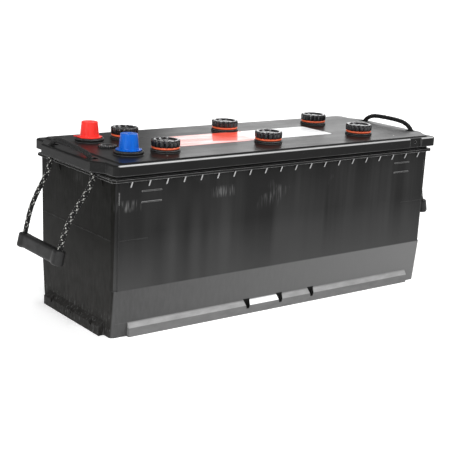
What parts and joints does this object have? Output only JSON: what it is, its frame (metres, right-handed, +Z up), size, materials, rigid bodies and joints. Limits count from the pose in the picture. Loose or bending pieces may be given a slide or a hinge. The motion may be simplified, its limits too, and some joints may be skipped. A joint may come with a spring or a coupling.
{
  "type": "deep cycle battery",
  "caption": "Flooded deep cycle battery block with screw vent plugs, capped taper posts, rope carrying handles and hold-down ledges.",
  "frame": {"origin": "centre of the flat underside", "axes": "+Z up; +X along the length, away from the terminals; -Y is the front long side"},
  "size_m": [0.5888, 0.189, 0.2246],
  "materials": {
    "case_plastic": "moulded polypropylene, satin",
    "lid_plastic": "moulded polypropylene, semi-gloss top",
    "plug_plastic": "moulded, satin",
    "grip_plastic": "moulded, fine-grained",
    "cap_red": "soft polyethylene, satin",
    "cap_blue": "soft polyethylene, satin",
    "seal_rubber": "smooth rubber",
    "rope": "braided polypropylene with pale flecks",
    "label": "printed film",
    "lead": "cast lead, dull",
    "positive_plate": "pasted lead dioxide",
    "negative_plate": "pasted sponge lead",
    "separator": "microporous polyethylene",
    "frit": "sintered, porous"
  },
  "bodies": {
    "case": {"container": "case_plastic", "lid": "lid_plastic", "centre_plug": "plug_plastic", "gas_outlet_frit": "frit", "top_label": "label", "positive_bushing": "lead", "negative_bushing": "lead", "positive_post": "lead", "negative_post": "lead", "left_rope_loop": "rope", "right_rope_loop": "rope", "cell_1_positive_plates": "positive_plate", "cell_1_negative_plates": "negative_plate", "cell_1_separators": "separator", "cell_2_positive_plates": "positive_plate", "cell_2_negative_plates": "negative_plate", "cell_2_separators": "separator", "cell_3_positive_plates": "positive_plate", "cell_3_negative_plates": "negative_plate", "cell_3_separators": "separator", "cell_4_positive_plates": "positive_plate", "cell_4_negative_plates": "negative_plate", "cell_4_separators": "separator", "cell_5_positive_plates": "positive_plate", "cell_5_negative_plates": "negative_plate", "cell_5_separators": "separator", "cell_6_positive_plates": "positive_plate", "cell_6_negative_plates": "negative_plate", "cell_6_separators": "separator", "cell_link_1_2": "lead", "cell_link_2_3": "lead", "cell_link_3_4": "lead", "cell_link_4_5": "lead", "cell_link_5_6": "lead"},
    "vent_1_ring": {"vent_seal_1": "seal_rubber"},
    "vent_1_plug": {"vent_plug_1": "plug_plastic"},
    "vent_2_ring": {"vent_seal_2": "seal_rubber"},
    "vent_2_plug": {"vent_plug_2": "plug_plastic"},
    "vent_3_ring": {"vent_seal_3": "seal_rubber"},
    "vent_3_plug": {"vent_plug_3": "plug_plastic"},
    "vent_4_ring": {"vent_seal_4": "seal_rubber"},
    "vent_4_plug": {"vent_plug_4": "plug_plastic"},
    "vent_5_ring": {"vent_seal_5": "seal_rubber"},
    "vent_5_plug": {"vent_plug_5": "plug_plastic"},
    "vent_6_ring": {"vent_seal_6": "seal_rubber"},
    "vent_6_plug": {"vent_plug_6": "plug_plastic"},
    "positive_cap": {"positive_terminal_cap": "cap_red"},
    "negative_cap": {"negative_terminal_cap": "cap_blue"},
    "left_handle": {"left_grip": "grip_plastic", "left_rope_front": "rope", "left_rope_rear": "rope"},
    "right_handle": {"right_grip": "grip_plastic", "right_rope_front": "rope", "right_rope_rear": "rope"}
  },
  "joints": [
    {"name": "vent_1_lift", "type": "slide", "parent": "case", "child": "vent_1_ring", "axis": [0, 0, 1], "range_m": [0, 0.0091]},
    {"name": "vent_1_turn", "type": "hinge", "parent": "vent_1_ring", "child": "vent_1_plug", "pos_m": [-0.1507, -0.0453, 0.2], "axis": [0, 0, 1], "range_deg": [0, 1080]},
    {"name": "vent_2_lift", "type": "slide", "parent": "case", "child": "vent_2_ring", "axis": [0, 0, 1], "range_m": [0, 0.0091]},
    {"name": "vent_2_turn", "type": "hinge", "parent": "vent_2_ring", "child": "vent_2_plug", "pos_m": [0, -0.0453, 0.2], "axis": [0, 0, 1], "range_deg": [0, 1080]},
    {"name": "vent_3_lift", "type": "slide", "parent": "case", "child": "vent_3_ring", "axis": [0, 0, 1], "range_m": [0, 0.0091]},
    {"name": "vent_3_turn", "type": "hinge", "parent": "vent_3_ring", "child": "vent_3_plug", "pos_m": [0.1507, -0.0453, 0.2], "axis": [0, 0, 1], "range_deg": [0, 1080]},
    {"name": "vent_4_lift", "type": "slide", "parent": "case", "child": "vent_4_ring", "axis": [0, 0, 1], "range_m": [0, 0.0091]},
    {"name": "vent_4_turn", "type": "hinge", "parent": "vent_4_ring", "child": "vent_4_plug", "pos_m": [-0.1507, 0.0453, 0.2], "axis": [0, 0, 1], "range_deg": [0, 1080]},
    {"name": "vent_5_lift", "type": "slide", "parent": "case", "child": "vent_5_ring", "axis": [0, 0, 1], "range_m": [0, 0.0091]},
    {"name": "vent_5_turn", "type": "hinge", "parent": "vent_5_ring", "child": "vent_5_plug", "pos_m": [0, 0.0453, 0.2], "axis": [0, 0, 1], "range_deg": [0, 1080]},
    {"name": "vent_6_lift", "type": "slide", "parent": "case", "child": "vent_6_ring", "axis": [0, 0, 1], "range_m": [0, 0.0091]},
    {"name": "vent_6_turn", "type": "hinge", "parent": "vent_6_ring", "child": "vent_6_plug", "pos_m": [0.1507, 0.0453, 0.2], "axis": [0, 0, 1], "range_deg": [0, 1080]},
    {"name": "positive_cap_lift", "type": "slide", "parent": "case", "child": "positive_cap", "axis": [0, 0, 1], "range_m": [0, 0.03]},
    {"name": "negative_cap_lift", "type": "slide", "parent": "case", "child": "negative_cap", "axis": [0, 0, 1], "range_m": [0, 0.03]},
    {"name": "left_handle_swing", "type": "hinge", "parent": "case", "child": "left_handle", "pos_m": [-0.249, 0, 0.178], "axis": [0, 1, 0], "range_deg": [-20, 75]},
    {"name": "right_handle_swing", "type": "hinge", "parent": "case", "child": "right_handle", "pos_m": [0.249, 0, 0.178], "axis": [0, -1, 0], "range_deg": [-20, 75]}
  ],
  "couplings": [
    {"joint": "vent_1_lift", "follows": "vent_1_turn", "m_per_rad": 0.00047746},
    {"joint": "vent_2_lift", "follows": "vent_2_turn", "m_per_rad": 0.00047746},
    {"joint": "vent_3_lift", "follows": "vent_3_turn", "m_per_rad": 0.00047746},
    {"joint": "vent_4_lift", "follows": "vent_4_turn", "m_per_rad": 0.00047746},
    {"joint": "vent_5_lift", "follows": "vent_5_turn", "m_per_rad": 0.00047746},
    {"joint": "vent_6_lift", "follows": "vent_6_turn", "m_per_rad": 0.00047746}
  ]
}
